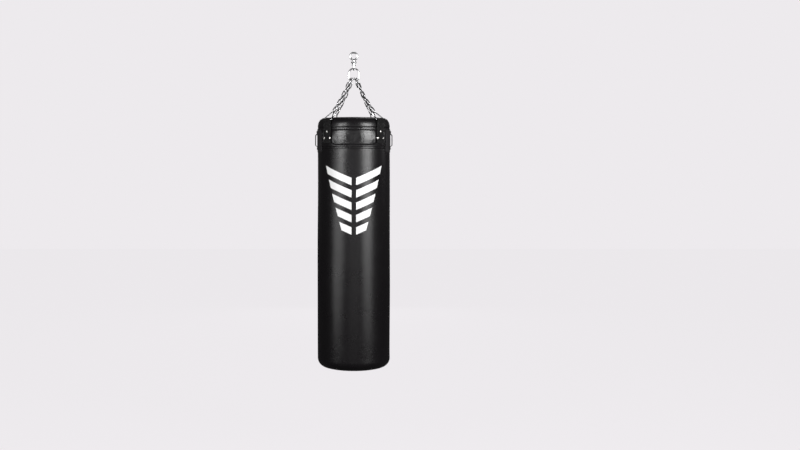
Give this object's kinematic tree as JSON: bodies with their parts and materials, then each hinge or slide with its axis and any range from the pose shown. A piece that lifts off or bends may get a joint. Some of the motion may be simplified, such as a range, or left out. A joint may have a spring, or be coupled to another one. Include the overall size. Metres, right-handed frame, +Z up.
{
  "type": "punching bag",
  "caption": "Hanging heavy bag: a filled black vinyl cylinder with a riveted collar, webbing straps and handles, on chains that meet at a swivel.",
  "frame": {"origin": "the hang point: the inside top of the swivel's upper eye, where a hook carries it", "axes": "+Z up along the bag's axis, +X to the viewer's right, along the lid's zip and the master link's bar, -Y towards the viewer"},
  "size_m": [0.3758, 0.3536, 1.5279],
  "materials": {
    "cover_vinyl": "black grained vinyl, satin",
    "webbing": "black woven webbing, matt",
    "filling": "packed shredded textile",
    "chain_steel": "zinc plated, bright",
    "rivet_steel": "nickel plated, polished",
    "forged_steel": "zinc plated forging",
    "bearing_steel": "ground",
    "zip_tape": "black woven tape with moulded teeth",
    "zip_metal": "dark nickel plated"
  },
  "bodies": {
    "hook_end": {"swivel_upper_eye": "forged_steel", "swivel_thrust_bearing": "bearing_steel"},
    "swivel_body": {"swivel_lower_eye": "forged_steel"},
    "master": {"master_link": "chain_steel"},
    "bag": {"base_panel": "cover_vinyl", "chain_back_left_link_1": "chain_steel", "chain_back_left_link_2": "chain_steel", "chain_back_left_link_3": "chain_steel", "chain_back_left_link_4": "chain_steel", "chain_back_left_link_5": "chain_steel", "chain_back_left_link_6": "chain_steel", "chain_back_left_link_7": "chain_steel", "chain_back_left_link_8": "chain_steel", "chain_back_right_link_1": "chain_steel", "chain_back_right_link_2": "chain_steel", "chain_back_right_link_3": "chain_steel", "chain_back_right_link_4": "chain_steel", "chain_back_right_link_5": "chain_steel", "chain_back_right_link_6": "chain_steel", "chain_back_right_link_7": "chain_steel", "chain_back_right_link_8": "chain_steel", "chain_front_left_link_1": "chain_steel", "chain_front_left_link_2": "chain_steel", "chain_front_left_link_3": "chain_steel", "chain_front_left_link_4": "chain_steel", "chain_front_left_link_5": "chain_steel", "chain_front_left_link_6": "chain_steel", "chain_front_left_link_7": "chain_steel", "chain_front_left_link_8": "chain_steel", "chain_front_right_link_1": "chain_steel", "chain_front_right_link_2": "chain_steel", "chain_front_right_link_3": "chain_steel", "chain_front_right_link_4": "chain_steel", "chain_front_right_link_5": "chain_steel", "chain_front_right_link_6": "chain_steel", "chain_front_right_link_7": "chain_steel", "chain_front_right_link_8": "chain_steel", "collar_band": "cover_vinyl", "handle_rivets_left": "rivet_steel", "handle_rivets_right": "rivet_steel", "hanging_strap_back_left": "webbing", "hanging_strap_back_right": "webbing", "hanging_strap_front_left": "webbing", "hanging_strap_front_right": "webbing", "lid_zip": "zip_tape", "outer_cover": "cover_vinyl", "side_handle_left": "webbing", "side_handle_right": "webbing", "strap_ring_back_left": "chain_steel", "strap_ring_back_right": "chain_steel", "strap_ring_front_left": "chain_steel", "strap_ring_front_right": "chain_steel", "strap_rivets_back_left": "rivet_steel", "strap_rivets_back_right": "rivet_steel", "strap_rivets_front_left": "rivet_steel", "strap_rivets_front_right": "rivet_steel", "textile_filling": "filling", "top_lid": "cover_vinyl"},
    "slider": {"zip_slider": "zip_metal"},
    "pull": {"zip_pull": "zip_metal"}
  },
  "joints": [
    {"name": "swivel_spin", "type": "hinge", "parent": "hook_end", "child": "swivel_body", "pos_m": [0, 0, -0.0807], "axis": [0, 0, 1], "continuous": true},
    {"name": "swing_side", "type": "hinge", "parent": "swivel_body", "child": "master", "pos_m": [0, 0, -0.0807], "axis": [0, 1, 0], "range_deg": [-40, 40]},
    {"name": "swing_front", "type": "hinge", "parent": "master", "child": "bag", "pos_m": [0, 0, -0.1249], "axis": [1, 0, 0], "range_deg": [-40, 40]},
    {"name": "zip_slide", "type": "slide", "parent": "bag", "child": "slider", "axis": [1, 0, 0], "range_m": [0, 0.195]},
    {"name": "pull_tilt", "type": "hinge", "parent": "slider", "child": "pull", "pos_m": [-0.0985, 0, -0.3146], "axis": [0, -1, 0], "range_deg": [0, 170]}
  ]
}
